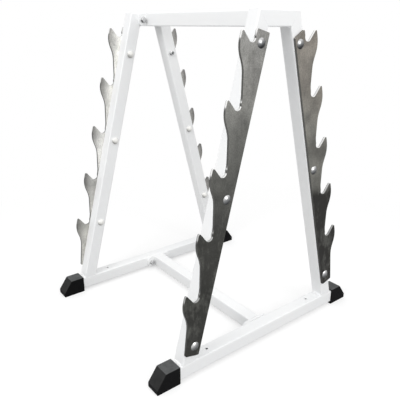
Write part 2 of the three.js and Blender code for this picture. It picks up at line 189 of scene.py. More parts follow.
# Pushes the faces of bm out along a vector into a closed solid, and gives the far side's vertices
def thicken(bm, vector):
    farSide = vertsOf(bmesh.ops.extrude_face_region(bm, geom=bm.faces[:])["geom"])
    bmesh.ops.translate(bm, verts=farSide, vec=vector)
    bmesh.ops.recalc_face_normals(bm, faces=bm.faces)
    return farSide


# Turns the drawn profile a full turn about the X axis
def turnAboutX(bm):
    bmesh.ops.spin(
        bm, geom=bm.verts[:] + bm.edges[:], cent=(0, 0, 0), axis=alongX, angle=2 * math.pi,
        steps=rack["turnSteps"], use_merge=True, use_duplicate=False)
    bmesh.ops.remove_doubles(bm, verts=bm.verts, dist=rack["mergeGap"])
    bmesh.ops.recalc_face_normals(bm, faces=bm.faces)


def turnedProfile(points):
    bm = bmesh.new()
    vert = bm.verts.new(placed(turnedPlane, points[0]))
    for point in points[1:]:
        vert = straightTo(bm, vert, turnedPlane, point)
    turnAboutX(bm)
    return bm


# Joins, cuts or intersects bm with another closed mesh
def combined(bm, other, operation):
    objects = []
    for part in (bm, other):
        mesh = bpy.data.meshes.new("working")
        part.to_mesh(mesh)
        part.free()
        objects.append(bpy.data.objects.new("working", mesh))
        bpy.context.scene.collection.objects.link(objects[-1])
    body, tool = objects
    change = body.modifiers.new("change", "BOOLEAN")
    change.operation, change.object, change.solver = operation, tool, "EXACT"
    evaluated = body.evaluated_get(bpy.context.evaluated_depsgraph_get())
    result = bmesh.new()
    result.from_mesh(evaluated.to_mesh())
    evaluated.to_mesh_clear()
    for spare in objects:
        spareMesh = spare.data
        bpy.data.objects.remove(spare)
        bpy.data.meshes.remove(spareMesh)
    return result


def rodAlong(axis, radius, start, end, at, steps=rack["rodSteps"]):
    bm = bmesh.new()
    turn = upward.rotation_difference(axis).to_matrix().to_4x4()
    middle = Vector(at) + axis * (start + end) / 2
    bmesh.ops.create_cone(
        bm, cap_ends=True, segments=steps, radius1=radius, radius2=radius, depth=end - start,
        matrix=Matrix.Translation(middle) @ turn)
    return bm


def bevelSharp(bm, width, steps, sharpAngle=rack["sharpAngle"]):
    sharp = [edge for edge in bm.edges if edge.calc_face_angle(0) > math.radians(sharpAngle)]
    bmesh.ops.bevel(
        bm, geom=sharp, offset=width, segments=steps, profile=0.5, affect="EDGES", clamp_overlap=True,
        material=-1)


# Ends a piece: its place, shading, object and materials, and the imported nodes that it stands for
def finishPiece(bm, name, materials, replaced=(), matrix=None):
    if matrix is not None:
        bmesh.ops.transform(bm, matrix=matrix, verts=bm.verts)
    bmesh.ops.remove_doubles(bm, verts=bm.verts, dist=rack["lastMergeGap"])
    bmesh.ops.recalc_face_normals(bm, faces=bm.faces)
    for face in bm.faces:
        face.smooth = True
    for edge in bm.edges:
        edge.smooth = edge.calc_face_angle(0) < math.radians(rack["smoothAngle"])
    mesh = bpy.data.meshes.new(name)
    bm.to_mesh(mesh)
    bm.free()
    piece = bpy.data.objects.new(name, mesh)
    bpy.context.scene.collection.objects.link(piece)
    for material in materials:
        mesh.materials.append(material)
    weighted = piece.modifiers.new("evenShading", "WEIGHTED_NORMAL")
    weighted.keep_sharp = True
    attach(piece, "root")
    if replaced:
        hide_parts(*replaced)


# Node trees

def newFinish(name, look):
    material = bpy.data.materials.new(name)
    material.use_nodes = True
    shader = material.node_tree.nodes["Principled BSDF"]
    shader.inputs["Metallic"].default_value = look.get("metallic", 0)
    if "specular" in look:
        shader.inputs["Specular IOR Level"].default_value = look["specular"]
    return material, material.node_tree, shader


def addNode(tree, kind, links=(), **values):
    node = tree.nodes.new(kind)
    for key, value in values.items():
        if key in node.inputs:
            node.inputs[key].default_value = value
        else:
            setattr(node, key, value)
    for target, source in dict(links).items():
        tree.links.new(source, node.inputs[target])
    return node


def objectPlace(tree):
    return addNode(tree, "ShaderNodeTexCoord").outputs["Object"]


def noiseOf(tree, place, scale, detail=3.0, roughness=0.55, stretch=None):
    if stretch:
        place = addNode(tree, "ShaderNodeMapping", {"Vector": place}, Scale=stretch).outputs["Vector"]
    return addNode(
        tree, "ShaderNodeTexNoise", {"Vector": place}, Scale=scale, Detail=detail,
        Roughness=roughness).outputs["Fac"]


def spread(tree, value, low, high, toLow, toHigh):
    node = addNode(tree, "ShaderNodeMapRange", {"Value": value})
    for key, number in (("From Min", low), ("From Max", high), ("To Min", toLow), ("To Max", toHigh)):
        node.inputs[key].default_value = number
    return node.outputs["Result"]


# Sockets 0, 6 and 7 of a colour mix are its factor and its two colours
def blendOf(tree, share, first, second, kind="MIX"):
    node = tree.nodes.new("ShaderNodeMix")
    node.data_type, node.blend_type = "RGBA", kind
    for socket, value in ((0, share), (6, first), (7, second)):
        if hasattr(value, "is_linked"):
            tree.links.new(value, node.inputs[socket])
        elif socket:
            node.inputs[socket].default_value = (*value, 1)
        else:
            node.inputs[socket].default_value = value
    return node.outputs[2]


def times(tree, ground, factor):
    return blendOf(tree, 1.0, ground, factor, "MULTIPLY")


noiseSpan = (0.3, 0.7)  # where nearly all of a noise pattern's values lie


def noiseTo(tree, noise, reach):
    return spread(tree, noise, *noiseSpan, *reach)


def bumpOf(tree, shader, height, strength, distance):
    bump = addNode(tree, "ShaderNodeBump", {"Height": height}, Strength=strength, Distance=distance)
    tree.links.new(bump.outputs["Normal"], shader.inputs["Normal"])


# Ends a finish: its tone, and a roughness that follows a noise pattern
def linkLook(tree, shader, ground, noise, roughness):
    tree.links.new(ground, shader.inputs["Base Color"])
    tree.links.new(noiseTo(tree, noise, roughness), shader.inputs["Roughness"])


# How far a surface looks along a direction: -1 away from it, 1 straight along it
def facingOf(tree, direction):
    normal = addNode(tree, "ShaderNodeNewGeometry").outputs["Normal"]
    dot = addNode(tree, "ShaderNodeVectorMath", {0: normal}, operation="DOT_PRODUCT")
    dot.inputs[1].default_value = Vector(direction).normalized()
    return dot.outputs["Value"]


# A folded place is the same on both ends and both sides of the rack
def foldedPlace(tree, place):
    return addNode(tree, "ShaderNodeVectorMath", {0: place}, operation="ABSOLUTE").outputs["Vector"]


def partOf(tree, place, letter):
    return addNode(tree, "ShaderNodeSeparateXYZ", {"Vector": place}).outputs[letter]


# How far a place is out from its leg's outer face, plus legFaceOffset
def outFromLeg(tree, place):
    dot = addNode(tree, "ShaderNodeVectorMath", {0: foldedPlace(tree, place)}, operation="DOT_PRODUCT")
    dot.inputs[1].default_value = (0, math.cos(lean), math.sin(lean))
    return dot.outputs["Value"]


legFaceOffset = rack["baseSpread"] / 2 * math.cos(lean) + baseTop * math.sin(lean)


# Tones that follow a value, from stops of (value, red, green, blue)
def tonesAlong(tree, value, stops):
    first, last = stops[0][0], stops[-1][0]
    node = addNode(tree, "ShaderNodeValToRGB", {"Fac": spread(tree, value, first, last, 0, 1)})
    ramp = node.color_ramp
    while len(ramp.elements) < len(stops):
        ramp.elements.new(0.5)
    for element, (at, *tone) in zip(ramp.elements, stops):
        element.position = (at - first) / (last - first)
        element.color = (*tone, 1)
    return node.outputs["Color"]


# White powder coat: faint orange peel, and a slow drift in tone
powderCoat = {
    "tone": (0.915, 0.92, 0.92),
    "toneCool": (0.885, 0.893, 0.90),
    "drift": {"scale": 2.6, "detail": 4},
    "driftSpan": (0.35, 0.65),
    "peel": {"scale": 420, "detail": 2},
    "peelBump": (0.5, 0.00012),
    "roughness": (0.36, 0.46),
}


def makePowderCoat():
    material, tree, shader = newFinish("whitePowderCoat", powderCoat)
    place = objectPlace(tree)
    drift = noiseOf(tree, place, **powderCoat["drift"])
    share = spread(tree, drift, *powderCoat["driftSpan"], 0, 1)
    ground = blendOf(tree, share, powderCoat["tone"], powderCoat["toneCool"])
    peel = noiseOf(tree, place, **powderCoat["peel"])
    linkLook(tree, shader, ground, peel, powderCoat["roughness"])
    bumpOf(tree, shader, peel, *powderCoat["peelBump"])
    return material


# Hot rolled steel: cloudy grey scale with speckle, fine grain and rolling streaks, with painted reflection
# that makes it paler higher up, and with a pale bloom on the outer faces.
# The side against the leg is paler, with painted reflection in its tones by height, and darker out towards
# the hooks' tips.
# The tones are stops of height, red, green and blue
millScaleAndReflection = {
    "metallic": 0.6,
    "specular": 0.3,
    # Painted reflection: the outer faces' tones follow height, with a sharp step on the back plates at 0.52
    # to 0.56 m
    "faces": {
        "front": (
            (0.10, 0.029, 0.029, 0.026), (0.30, 0.027, 0.027, 0.024), (0.50, 0.045, 0.045, 0.041),
            (0.68, 0.102, 0.102, 0.094), (0.82, 0.172, 0.172, 0.160), (0.93, 0.240, 0.237, 0.223),
            (1.08, 0.275, 0.272, 0.260)),
        "back": (
            (0.10, 0.011, 0.0105, 0.009), (0.52, 0.017, 0.016, 0.014), (0.56, 0.130, 0.128, 0.115),
            (0.61, 0.178, 0.176, 0.158), (0.69, 0.115, 0.112, 0.101), (0.77, 0.195, 0.190, 0.170),
            (0.88, 0.205, 0.192, 0.170), (1.08, 0.228, 0.210, 0.186))},
    # Painted reflection: the leg side's tones follow height
    "legSides": {
        "front": (
            (0.12, 0.52, 0.515, 0.485), (0.30, 0.50, 0.495, 0.465), (0.47, 0.57, 0.565, 0.54),
            (0.60, 0.76, 0.755, 0.73), (0.66, 0.70, 0.695, 0.67), (0.90, 0.72, 0.715, 0.68),
            (1.06, 0.90, 0.89, 0.85)),
        "back": ((0.12, 0.50, 0.49, 0.47), (0.60, 0.50, 0.49, 0.47), (1.06, 0.60, 0.59, 0.57))},
    "legSideFade": (1.15, 0.33),  # from the leg's face out to the hooks' tips
    "bloom": {"scale": 24, "detail": 7, "roughness": 0.72, "stretch": (1, 1, 0.5)},
    "bloomSpan": (0.49, 0.62),
    "bloomShare": 0.45,
    "bloomTone": (0.135, 0.136, 0.124),
    "cloud": {"scale": 16, "detail": 6, "roughness": 0.62},
    "speckle": {"scale": 230, "detail": 2, "roughness": 0.6},
    "grain": {"scale": 900, "detail": 3, "roughness": 0.7},
    "streak": {"scale": 60, "detail": 4, "roughness": 0.6, "stretch": (1, 1, 0.12)},
    "reaches": {
        "cloud": (0.68, 1.34), "speckle": (0.78, 1.22), "grain": (0.88, 1.12), "streak": (0.92, 1.08)},
    "grainBump": (0.35, 0.00008),
    "roughness": (0.42, 0.62),
}


def makeScaleAndReflection(name, tones, isLegSide):
    material, tree, shader = newFinish(name, millScaleAndReflection)
    place = objectPlace(tree)
    # The tones by height are painted reflection
    ground = tonesAlong(tree, partOf(tree, place, "Z"), tones)
    if isLegSide:
        tips = legFaceOffset + hook["reach"]
        fade = spread(tree, outFromLeg(tree, place), legFaceOffset, tips, *millScaleAndReflection["legSideFade"])
        ground = times(tree, ground, fade)
    else:
        bloom = noiseOf(tree, place, **millScaleAndReflection["bloom"])
        bloomShare = spread(tree, bloom, *millScaleAndReflection["bloomSpan"], 0, millScaleAndReflection["bloomShare"])
        ground = blendOf(tree, bloomShare, ground, millScaleAndReflection["bloomTone"])
    patterns = {kind: noiseOf(tree, place, **millScaleAndReflection[kind]) for kind in millScaleAndReflection["reaches"]}
    for kind, reach in millScaleAndReflection["reaches"].items():
        ground = times(tree, ground, noiseTo(tree, patterns[kind], reach))
    linkLook(tree, shader, ground, patterns["cloud"], millScaleAndReflection["roughness"])
    bumpOf(tree, shader, patterns["grain"], *millScaleAndReflection["grainBump"])
    return material


# Cut edge of the plates: bright drag lines, darker within 3 mm of the leg's side, and painted light:
# painted highlight where the edge looks up, painted shade where it looks down, and painted reflection by
# height that dulls the lower hooks and the left end.
# The tones are stops of how far up the edge looks, the heights are stops of height
cutEdge = {
    "metallic": 0.5,
    "tones": (
        # Painted highlight and painted shade by which way the edge looks
        (-0.45, 0.040, 0.040, 0.037), (-0.24, 0.100, 0.099, 0.092), (0.12, 0.080, 0.080, 0.076),
        (0.20, 0.25, 0.25, 0.245), (0.25, 0.88, 0.88, 0.87)),
    # Painted reflection by height: duller on the lower hooks and on the left end
    "heights": {
        "right": (
            (0.30, 0.42, 0.42, 0.42), (0.49, 0.55, 0.55, 0.55), (0.66, 0.95, 0.95, 0.95), (0.88, 1, 1, 1)),
        "left": (
            (0.30, 0.27, 0.27, 0.265), (0.49, 0.26, 0.26, 0.255), (0.68, 0.38, 0.38, 0.375),
            (0.88, 0.70, 0.70, 0.69), (1.07, 1, 1, 1))},
    "legSideDark": (0.30, 1.0),
    "legSideDarkDepth": 0.003,
    "lines": {"scale": 1400, "detail": 2, "roughness": 0.6, "stretch": (0.08, 1, 1)},
    "lineReach": (0.9, 1.08),
    "lineBump": (0.4, 0.0001),
    "roughness": (0.3, 0.45),
}


def makeCutEdge(end):
    material, tree, shader = newFinish(f"cutEdge_{end}", cutEdge)
    place = objectPlace(tree)
    lines = noiseOf(tree, place, **cutEdge["lines"])
    # Painted light by which way the edge looks and by height
    ground = tonesAlong(tree, facingOf(tree, upward), cutEdge["tones"])
    ground = times(tree, ground, noiseTo(tree, lines, cutEdge["lineReach"]))
    ground = times(tree, ground, tonesAlong(tree, partOf(tree, place, "Z"), cutEdge["heights"][end]))
    legSide = frameX + tubeSide / 2
    depth = partOf(tree, foldedPlace(tree, place), "X")
    legSideDark = spread(tree, depth, legSide, legSide + cutEdge["legSideDarkDepth"], *cutEdge["legSideDark"])
    linkLook(tree, shader, times(tree, ground, legSideDark), lines, cutEdge["roughness"])
    bumpOf(tree, shader, lines, *cutEdge["lineBump"])
    return material


# Chrome bolt heads, with painted reflection: bright towards the upper front and dark on the underside
chromePlate = {
    "metallic": 1.0,
    "reflectionSide": (0, -0.42, 0.90),
    # Painted reflection: stops of how far the head looks towards the upper front
    "tones": (
        (-0.42, 0.022, 0.023, 0.024), (-0.24, 0.055, 0.057, 0.060), (-0.05, 0.14, 0.143, 0.147),
        (0.15, 0.22, 0.225, 0.23), (0.34, 0.42, 0.42, 0.42), (0.48, 0.62, 0.62, 0.62)),
    "haze": {"scale": 500, "detail": 3},
    "hazeReach": (0.93, 1.04),
    "roughness": (0.25, 0.34),
}


def makeChrome():
    material, tree, shader = newFinish("chromePlate", chromePlate)
    haze = noiseOf(tree, objectPlace(tree), **chromePlate["haze"])
    # Painted reflection by which way the head looks
    ground = tonesAlong(tree, facingOf(tree, chromePlate["reflectionSide"]), chromePlate["tones"])
    ground = times(tree, ground, noiseTo(tree, haze, chromePlate["hazeReach"]))
    linkLook(tree, shader, ground, haze, chromePlate["roughness"])
    return material


# Zinc plated hexagon bolts and washers, dull, with painted shade on what looks down and a painted highlight
# on what looks up
zincPlate = {
    "metallic": 0.9,
    "tones": (
        (-0.6, 0.05, 0.052, 0.055), (-0.15, 0.22, 0.225, 0.23), (0.0, 0.62, 0.625, 0.63),
        (0.35, 0.92, 0.92, 0.92)),
    "spangleScale": 380,
    "spangleSpan": (0, 0.6),
    "spangleReach": (1.06, 0.84),
    "haze": {"scale": 300, "detail": 3},
    "hazeBump": (0.2, 0.0001),
    "roughness": (0.24, 0.40),
}


def makeZinc():
    material, tree, shader = newFinish("zincPlate", zincPlate)
    place = objectPlace(tree)
    cells = addNode(tree, "ShaderNodeTexVoronoi", {"Vector": place}, Scale=zincPlate["spangleScale"])
    spangle = spread(tree, cells.outputs["Distance"], *zincPlate["spangleSpan"], *zincPlate["spangleReach"])
    # Painted light by which way the face looks
    ground = times(tree, tonesAlong(tree, facingOf(tree, upward), zincPlate["tones"]), spangle)
    haze = noiseOf(tree, place, **zincPlate["haze"])
    linkLook(tree, shader, ground, haze, zincPlate["roughness"])
    bumpOf(tree, shader, haze, *zincPlate["hazeBump"])
    return material


# Moulded boots: matt black with a fine pebble, and painted light that greys what looks up
bootRubber = {
    "specular": 0.08,
    "tones": ((0.0, 0.003, 0.003, 0.0035), (0.55, 0.020, 0.020, 0.020), (0.95, 0.092, 0.095, 0.096)),
    "blotch": {"scale": 45, "detail": 4},
    "blotchReach": (0.82, 1.18),
    "pebble": {"scale": 520, "detail": 3},
    "pebbleReach": (0.86, 1.14),
    "pebbleBump": (0.6, 0.0002),
    "roughness": (0.66, 0.80),
}


def makeBootRubber():
    material, tree, shader = newFinish("bootRubber", bootRubber)
    place = objectPlace(tree)
    pebble = noiseOf(tree, place, **bootRubber["pebble"])
    blotch = noiseOf(tree, place, **bootRubber["blotch"])
    # Painted light: paler where the boot looks up
    ground = tonesAlong(tree, facingOf(tree, upward), bootRubber["tones"])
    ground = times(tree, ground, noiseTo(tree, blotch, bootRubber["blotchReach"]))
    ground = times(tree, ground, noiseTo(tree, pebble, bootRubber["pebbleReach"]))
    linkLook(tree, shader, ground, pebble, bootRubber["roughness"])
    bumpOf(tree, shader, pebble, *bootRubber["pebbleBump"])
    return material


# Cream plastic caps over the nuts, with painted shade that greys the lower front of the dome
capPlastic = {
    "litSide": (0, 0.6, 0.8),
    "tones": (
        (-0.75, 0.38, 0.38, 0.37), (-0.40, 0.68, 0.675, 0.65), (-0.10, 0.86, 0.85, 0.82),
        (0.5, 0.92, 0.915, 0.89)),
    "cloud": {"scale": 70, "detail": 3},
    "cloudReach": (0.95, 1.02),
    "pores": {"scale": 900, "detail": 2},
    "poreBump": (0.15, 0.0001),
    "roughness": (0.26, 0.38),
}


def makeCapPlastic():
    material, tree, shader = newFinish("creamCapPlastic", capPlastic)
    place = objectPlace(tree)
    cloud = noiseOf(tree, place, **capPlastic["cloud"])
    # Painted shade on what looks away from the lit side
    ground = tonesAlong(tree, facingOf(tree, capPlastic["litSide"]), capPlastic["tones"])
    ground = times(tree, ground, noiseTo(tree, cloud, capPlastic["cloudReach"]))
    linkLook(tree, shader, ground, cloud, capPlastic["roughness"])
    bumpOf(tree, shader, noiseOf(tree, place, **capPlastic["pores"]), *capPlastic["poreBump"])
    return material


coat = makePowderCoat()
steelFaces = {side: makeScaleAndReflection(f"millScaleAndReflection_{side}", millScaleAndReflection["faces"][side], False) for side in sides}
steelLegSide = {side: makeScaleAndReflection(f"legSideScaleAndReflection_{side}", millScaleAndReflection["legSides"][side], True) for side in sides}
steelEdges = {end: makeCutEdge(end) for end in ends}
chrome, zinc = makeChrome(), makeZinc()
rubber, cream = makeBootRubber(), makeCapPlastic()
print("finishes made")


# Square tube along Z from z = 0, centred on the axis
def squareTube(length):
    half = tubeSide / 2
    bm = roundedFace(floorPlane, rectangle(half, half, rack["tubeRound"]))
    bmesh.ops.inset_region(
        bm, faces=bm.faces[:], thickness=rack["tubeWall"], use_even_offset=True, use_boundary=True)
    core = [face for face in bm.faces if len(face.verts) > 4]  # the wall's own faces have four
    bmesh.ops.delete(bm, geom=core, context="FACES_ONLY")
    farEnd = thicken(bm, (0, 0, length))
    nearEnd = [vert for vert in bm.verts if vert not in farEnd]
    return bm, nearEnd, farEnd


tubeEnds = {"edge": 0.0005, "edgeSteps": 2, "sharpAngle": 40}  # the angle is in degrees


def softenTubeEnds(bm):
    bevelSharp(bm, tubeEnds["edge"], tubeEnds["edgeSteps"], tubeEnds["sharpAngle"])


# Half a turn about Z for what faces the other way
def turnedAround(sign):
    return Matrix.Rotation(0 if sign > 0 else math.pi, 4, "Z")


def legMatrix(end, side):
    place = Matrix.Translation((ends[end] * frameX, sides[side] * rack["baseSpread"] / 2, baseTop))
    return place @ turnedAround(-sides[side]) @ Matrix.Rotation(-lean, 4, "X")


# Which way is out of the rack, along the leg's own X
def outwardOf(end, side):
    return -ends[end] * sides[side]


def boltHeights(end, side):
    matrix = legMatrix(end, side).inverted()
    heights = []
    for i in range(1, rack["plateBolts"] + 1):
        low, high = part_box(f"plate_bolt_{end}_{side}_{i}")
        heights.append((matrix @ ((low + high) / 2)).z)
    return heights


leg = {"holeRadius": 0.0065}


def makeLeg(end, side):
    bm, nearEnd, farEnd = squareTube(legLength)
    bmesh.ops.translate(bm, verts=bm.verts, vec=(0, tubeSide / 2, 0))
    for vert in nearEnd:
        vert.co.z = vert.co.y * math.tan(lean)
    for vert in farEnd:
        vert.co.z = legLength - vert.co.y / math.tan(mitre)
    softenTubeEnds(bm)
    for height in boltHeights(end, side):
        at = (0, boltLine, height)
        hole = rodAlong(alongX, leg["holeRadius"], -tubeSide, tubeSide, at, rack["holeSteps"])
        bm = combined(bm, hole, "DIFFERENCE")
    node = f"leg_{end}_{side}"
    finishPiece(bm, f"{node}_tube", [coat], [node], legMatrix(end, side))


innerWall = {"holeRadius": 0.0063, "holeReach": 0.012}


def boltPlaces(level, end):
    places = []
    for side in sides:
        low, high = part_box(f"flange_bolt_{level}_{end}_{side}")
        places.append((low + high) / 2)
    return places


# Holes in a tube's inner wall for the two flange bolts
def cutFlangeHoles(bm, level, end):
    reach = innerWall["holeReach"]
    for place in boltPlaces(level, end):
        at = (ends[end] * innerFaceX, place.y, place.z)
        hole = rodAlong(alongX, innerWall["holeRadius"], -reach, reach, at, rack["holeSteps"])
        bm = combined(bm, hole, "DIFFERENCE")
    return bm


anchors = {"spacing": 0.510, "diameter": 0.010}


def makeBaseTube(end):
    node = f"base_tube_{end}"
    low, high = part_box(node)
    bm = squareTube(high.y - low.y)[0]
    softenTubeEnds(bm)
    start = Matrix.Translation((ends[end] * frameX, low.y, baseTop - tubeSide / 2))
    bmesh.ops.transform(bm, matrix=start @ Matrix.Rotation(-math.pi / 2, 4, "X"), verts=bm.verts)
    for sign in sides.values():
        at = (ends[end] * frameX, sign * anchors["spacing"] / 2, baseTop)
        hole = rodAlong(upward, anchors["diameter"] / 2, -2 * tubeSide, tubeSide, at)
        bm = combined(bm, hole, "DIFFERENCE")
    finishPiece(cutFlangeHoles(bm, "bottom", end), f"{node}_tube", [coat], [node])


def makeHeader(end):
    node = f"header_{end}"
    bm, nearEnd, farEnd = squareTube(rack["topSpread"])
    bmesh.ops.translate(bm, verts=bm.verts, vec=(0, 0, -rack["topSpread"] / 2))
    bmesh.ops.transform(bm, matrix=Matrix.Rotation(-math.pi / 2, 4, "X"), verts=bm.verts)
    for group, sign in ((nearEnd, -1), (farEnd, 1)):
        for vert in group:
            vert.co.y = sign * (rack["topSpread"] / 2 + (vert.co.z - tubeSide / 2) / math.tan(mitre))
    softenTubeEnds(bm)
    bmesh.ops.translate(bm, verts=bm.verts, vec=(ends[end] * frameX, 0, headerTop - tubeSide / 2))
    finishPiece(cutFlangeHoles(bm, "top", end), f"{node}_tube", [coat], [node])


def makeCrossbar(level):
    node = f"crossbar_{level}"
    low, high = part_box(node)
    bm = squareTube(high.x - low.x)[0]
    softenTubeEnds(bm)
    place = Matrix.Translation((low.x, 0, (low.z + high.z) / 2)) @ Matrix.Rotation(math.pi / 2, 4, "Y")
    finishPiece(bm, f"{node}_tube", [coat], [node], place)


flange = {"round": 0.020, "edge": 0.0012, "edgeSteps": 3, "holeRadius": 0.0065}


def makeFlange(level, end):
    node = f"flange_{level}_{end}"
    low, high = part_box(node)
    size, centre = high - low, (low + high) / 2
    bm = roundedFace(platePlane, rectangle(size.y / 2, size.z / 2, flange["round"]))
    thicken(bm, (size.x, 0, 0))
    bevelSharp(bm, flange["edge"], flange["edgeSteps"])
    bmesh.ops.translate(bm, verts=bm.verts, vec=(low.x, centre.y, centre.z))
    for bolt in boltPlaces(level, end):
        at = (centre.x, bolt.y, bolt.z)
        hole = rodAlong(alongX, flange["holeRadius"], -size.x, size.x, at, rack["holeSteps"])
        bm = combined(bm, hole, "DIFFERENCE")
    finishPiece(bm, f"{node}_plate", [coat], [node])


# Round seat, ramp, tip, nose and waist of one hook
def drawHook(bm, vert, seat, nextPoint):
    ramp = hook["rampShare"] * math.pi / 2
    wall = -hook["wallInset"]
    centre = Vector((wall - hook["undercut"] + hook["seatRadius"], seat))

    def onSeat(angle):
        return centre + hook["seatRadius"] * Vector((math.cos(angle), math.sin(angle)))

    wallAngle = math.acos((wall - centre.x) / hook["seatRadius"])
    rampAngle = 1.5 * math.pi + ramp
    rampStart = onSeat(rampAngle)
    vert = straightTo(bm, vert, platePlane, onSeat(wallAngle))
    vert = arcTo(bm, vert, platePlane, centre, rampAngle - wallAngle)
    tip = (hook["reach"], rampStart.y + (hook["reach"] - rampStart.x) * math.tan(ramp))
    nose = (hook["reach"], seat - hook["noseDrop"])
    waist = (hook["waistReach"], seat - hook["waistDrop"])
    vert = roundedTo(bm, vert, platePlane, rampStart, tip, nose, hook["tipRound"])
    vert = roundedTo(bm, vert, platePlane, tip, nose, waist, hook["noseRound"])
    return roundedTo(bm, vert, platePlane, nose, waist, nextPoint, hook["waistRound"]), waist


# Foot, straight edge and top of a plate, then its hooks from the top down
def drawPlate(bm, end, side):
    span = plateSpans[side]
    foot = span["foot"]
    top = legLength - span["topDrop"]
    highSeat = top - span["seatDrop"]
    pitch = (highSeat - foot - span["lowSeatRise"]) / (hook["count"] - 1)
    back = -tubeSide - span["laps"][end]
    wall = -hook["wallInset"]
    tail, backFoot = (hook["tailReach"], foot), (back, foot)
    backCorner, topCorner = (back, top - span["topFall"]), (wall, top)
    vert = roundedTo(bm, None, platePlane, tail, backFoot, backCorner, hook["footCorner"])
    vert = roundedTo(bm, vert, platePlane, backFoot, backCorner, topCorner, hook["corner"])
    vert = roundedTo(bm, vert, platePlane, backCorner, topCorner, (wall, highSeat), hook["corner"])
    for i in range(hook["count"]):
        seat = highSeat - i * pitch - (0 if i else hook["topSeatDip"])
        if i:
            throat = (wall, seat + hook["throatRise"])
            vert = roundedTo(bm, vert, platePlane, waist, throat, (wall, seat), hook["throatRound"])
        isLast = i == hook["count"] - 1
        following = tail if isLast else (wall, highSeat - (i + 1) * pitch + hook["throatRise"])
        vert, waist = drawHook(bm, vert, seat, following)
    roundedTo(bm, vert, platePlane, waist, tail, backFoot, hook["footCorner"])
    closeOutline(bm)


# Outer face, cut edge and leg side, in the order of the plate's materials.
# What the top edge keeps of its scale is painted as the outer face is
def paintPlate(bm, outward):
    outerFace, edge, legSide = 0, 1, 2
    for face in bm.faces:
        across = face.normal.x * outward
        isScaledTop = face.normal.z > hook["topTurn"] and face.calc_center_median().y > hook["scaledEdge"]
        if across > hook["faceTurn"] or isScaledTop:
            face.material_index = outerFace
        else:
            face.material_index = legSide if across < -hook["faceTurn"] else edge


def makeHookPlate(end, side):
    node = f"hook_plate_{end}_{side}"
    low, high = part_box(node)
    thickness = high.x - low.x
    outward = outwardOf(end, side)
    bm = bmesh.new()
    drawPlate(bm, end, side)
    for height in boltHeights(end, side):
        square = Matrix.Translation((0, boltLine, height)) @ Matrix.Rotation(math.pi / 2, 4, "Y")
        bmesh.ops.create_circle(
            bm, cap_ends=False, segments=4, radius=hook["neckHole"] / math.sqrt(2),
            matrix=square @ Matrix.Rotation(math.pi / 4, 4, "Z"))
    bmesh.ops.triangle_fill(bm, use_beauty=True, use_dissolve=False, edges=bm.edges[:], normal=alongX)
    thicken(bm, (thickness, 0, 0))
    bevelSharp(bm, hook["edge"], hook["edgeSteps"])
    bmesh.ops.recalc_face_normals(bm, faces=bm.faces)
    paintPlate(bm, outward)
    start = tubeSide / 2 if outward > 0 else -tubeSide / 2 - thickness
    place = legMatrix(end, side) @ Matrix.Translation((start, 0, 0))
    materials = [steelFaces[side], steelEdges[end], steelLegSide[side]]
    finishPiece(bm, f"{node}_steel", materials, [node], place)


# Radius of a dome, and its turn from the middle to the rim
def domeOf(radius, rise):
    domeRadius = (radius ** 2 + rise ** 2) / (2 * rise)
    return domeRadius, math.asin(min(1, radius / domeRadius))


# Dome-headed bolt along X, with the underside of its head on x = 0
domeBolt = {
    "headDiameter": 0.031,
    "headHeight": 0.0065,
    "rim": 0.0008,
    "neckDepth": 0.0065,
    "length": 0.069,
    "tip": 0.001,
}


def domeBoltMesh():
    bm = bmesh.new()
    head, height, rim = domeBolt["headDiameter"] / 2, domeBolt["headHeight"], domeBolt["rim"]
    shank, tip = rack["boltDiameter"] / 2, domeBolt["tip"]
    end = -domeBolt["length"]
    domeRadius, turn = domeOf(head, height - rim)
    vert = bm.verts.new(placed(turnedPlane, (height, 0)))
    vert = arcTo(bm, vert, turnedPlane, (height - domeRadius, 0), turn)
    for point in ((0, head), (0, shank), (end + tip, shank), (end, shank - tip), (end, 0)):
        vert = straightTo(bm, vert, turnedPlane, point)
    turnAboutX(bm)
    neck = bmesh.new()
    bmesh.ops.create_cube(neck, size=1)
    depth = domeBolt["neckDepth"] + rim
    bmesh.ops.scale(neck, vec=(depth, 2 * shank, 2 * shank), verts=neck.verts)
    bmesh.ops.translate(neck, vec=(rim - depth / 2, 0, 0), verts=neck.verts)
    return combined(bm, neck, "UNION")


# Plastic dome over a nut, with its mouth on x = 0 and its dome to -X
cap = {
    "diameter": 0.028,
    "height": 0.013,
    "rim": 0.004,
    "boreRadius": 0.0063,
    "depth": 0.0113,
    "groove": 0.0005,
}


def capMesh():
    bm = bmesh.new()
    radius, rim, groove, bore = cap["diameter"] / 2, cap["rim"], cap["groove"], cap["boreRadius"]
    vert = bm.verts.new(placed(turnedPlane, (-cap["depth"], 0)))
    lip = (
        (-cap["depth"], bore), (0, bore), (0, radius - groove), (-groove, radius), (-rim / 2, radius),
        (-rim / 2 - groove, radius - groove), (-rim / 2 - 2 * groove, radius), (-rim, radius))
    for point in lip:
        vert = straightTo(bm, vert, turnedPlane, point)
    domeRadius, turn = domeOf(radius, cap["height"] - rim)
    arcTo(bm, vert, turnedPlane, (domeRadius - cap["height"], 0), turn)
    turnAboutX(bm)
    return bm


# Bolt heads and nuts
hexagon = {
    "across": 0.018,
    "chamferShare": 0.95,  # of the width across the flats
    "cutterShare": 1.1,  # of the width across the corners
    "nutHeight": 0.010,
    "headHeight": 0.0075,
}


